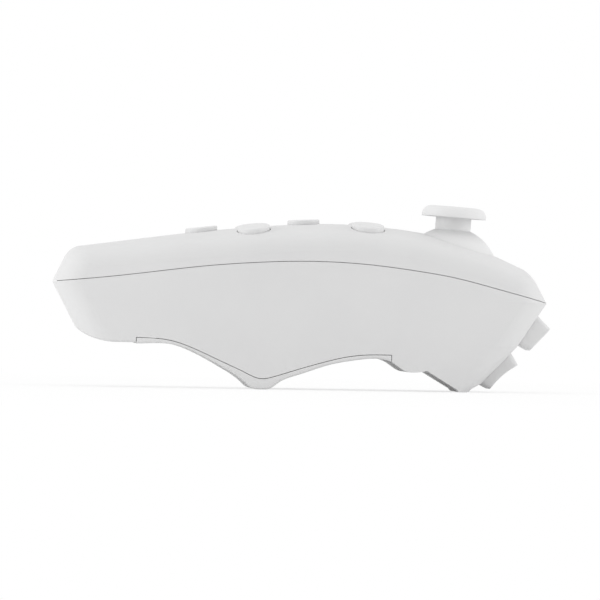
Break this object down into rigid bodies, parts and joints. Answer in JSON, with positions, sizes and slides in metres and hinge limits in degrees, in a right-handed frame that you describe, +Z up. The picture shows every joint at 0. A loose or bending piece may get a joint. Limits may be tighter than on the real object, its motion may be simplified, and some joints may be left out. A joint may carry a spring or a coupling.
{
  "type": "hand-held vr remote",
  "caption": "Wireless hand remote with a crowned top, round push buttons, a mushroom thumbstick, front triggers and a battery cover under a wavy grip.",
  "frame": {"origin": "Middle of the overall length and width, on the table under the remote.", "axes": "+X forward to the nose and triggers, +Y to the remote's left, +Z up through the buttons."},
  "size_m": [0.13, 0.036, 0.0487],
  "materials": {
    "shell": "matte",
    "cover": "matte",
    "button": "satin",
    "stick": "matte",
    "knob": "matte",
    "silicone": "matte",
    "board": "satin solder mask",
    "module_can": "satin",
    "chip": "matte",
    "capacitor": "satin",
    "connector": "matte",
    "led": "clear",
    "clear_pipe": "polished",
    "inner_plastic": "matte",
    "pot_plastic": "matte",
    "steel": "bright",
    "cell": "satin sleeve",
    "nickel": "bright",
    "red_wire": "satin",
    "black_wire": "satin",
    "ribbon": "satin"
  },
  "bodies": {
    "housing": {"upper_shell": "shell", "lower_shell": "shell", "keypad": "silicone", "main_board": "board", "radio_module": "module_can", "controller_chip": "chip", "crystal": "module_can", "capacitors": "capacitor", "ribbon_connectors": "connector", "status_led": "led", "light_pipe": "clear_pipe", "mode_switch": "module_can", "stick_housing": "module_can", "roll_potentiometer": "pot_plastic", "pitch_potentiometer": "pot_plastic", "centring_plunger": "inner_plastic", "centring_spring": "steel", "stick_board": "board", "trigger_pad": "silicone", "trigger_board": "board", "battery_cell_left": "cell", "battery_cell_right": "cell", "left_battery_spring": "nickel", "right_battery_spring": "nickel", "rear_contact": "nickel", "left_front_contact": "nickel", "right_front_contact": "nickel", "red_battery_wire": "red_wire", "black_battery_wire": "black_wire", "trigger_ribbon": "ribbon", "stick_ribbon": "ribbon", "housing_screws": "steel", "main_board_screws": "steel", "stick_board_screws": "steel", "trigger_board_screws": "steel"},
    "battery_lid": {"battery_cover": "cover"},
    "rear_key": {"diamond_rear_button": "button"},
    "left_key": {"diamond_left_button": "button"},
    "right_key": {"diamond_right_button": "button"},
    "front_key": {"diamond_front_button": "button"},
    "menu_left_key": {"menu_left_button": "button"},
    "menu_right_key": {"menu_right_button": "button"},
    "switch_knob": {"mode_switch_knob": "knob"},
    "gimbal": {"gimbal_ring": "inner_plastic"},
    "stick": {"thumbstick": "stick", "stick_shaft": "inner_plastic", "cross_pin": "steel"},
    "upper_pull": {"upper_trigger": "button"},
    "lower_pull": {"lower_trigger": "button"}
  },
  "joints": [
    {"name": "diamond_rear_press", "type": "slide", "parent": "housing", "child": "rear_key", "axis": [0, 0, -1], "range_m": [0, 0.0009], "stiffness_N_per_m": 1000, "springref_m": -0.0006, "deforming": ["keypad"]},
    {"name": "diamond_left_press", "type": "slide", "parent": "housing", "child": "left_key", "axis": [0, 0, -1], "range_m": [0, 0.0009], "stiffness_N_per_m": 1000, "springref_m": -0.0006, "deforming": ["keypad"]},
    {"name": "diamond_right_press", "type": "slide", "parent": "housing", "child": "right_key", "axis": [0, 0, -1], "range_m": [0, 0.0009], "stiffness_N_per_m": 1000, "springref_m": -0.0006, "deforming": ["keypad"]},
    {"name": "diamond_front_press", "type": "slide", "parent": "housing", "child": "front_key", "axis": [0, 0, -1], "range_m": [0, 0.0009], "stiffness_N_per_m": 1000, "springref_m": -0.0006, "deforming": ["keypad"]},
    {"name": "menu_left_press", "type": "slide", "parent": "housing", "child": "menu_left_key", "axis": [0, 0, -1], "range_m": [0, 0.0009], "stiffness_N_per_m": 1000, "springref_m": -0.0006, "deforming": ["keypad"]},
    {"name": "menu_right_press", "type": "slide", "parent": "housing", "child": "menu_right_key", "axis": [0, 0, -1], "range_m": [0, 0.0009], "stiffness_N_per_m": 1000, "springref_m": -0.0006, "deforming": ["keypad"]},
    {"name": "upper_trigger_pull", "type": "slide", "parent": "housing", "child": "upper_pull", "axis": [-0.712, 0, 0.7022], "range_m": [0, 0.0012], "stiffness_N_per_m": 1000, "springref_m": -0.0006, "deforming": ["trigger_pad"]},
    {"name": "lower_trigger_pull", "type": "slide", "parent": "housing", "child": "lower_pull", "axis": [-0.712, 0, 0.7022], "range_m": [0, 0.0012], "stiffness_N_per_m": 1000, "springref_m": -0.0006, "deforming": ["trigger_pad"]},
    {"name": "stick_roll", "type": "hinge", "parent": "housing", "child": "gimbal", "pos_m": [0.0387, 0, 0.0302], "axis": [0.9977, 0, -0.068], "range_deg": [-12, 12], "stiffness_Nm_per_rad": 0.06},
    {"name": "stick_pitch", "type": "hinge", "parent": "gimbal", "child": "stick", "pos_m": [0.0387, 0, 0.0302], "axis": [0, 1, 0], "range_deg": [-10, 14], "stiffness_Nm_per_rad": 0.06},
    {"name": "mode_slide", "type": "slide", "parent": "housing", "child": "switch_knob", "axis": [1, 0, 0], "range_m": [0, 0.002]},
    {"name": "cover_slide", "type": "slide", "parent": "housing", "child": "battery_lid", "axis": [0, 0, -1], "range_m": [0, 0.012]}
  ]
}
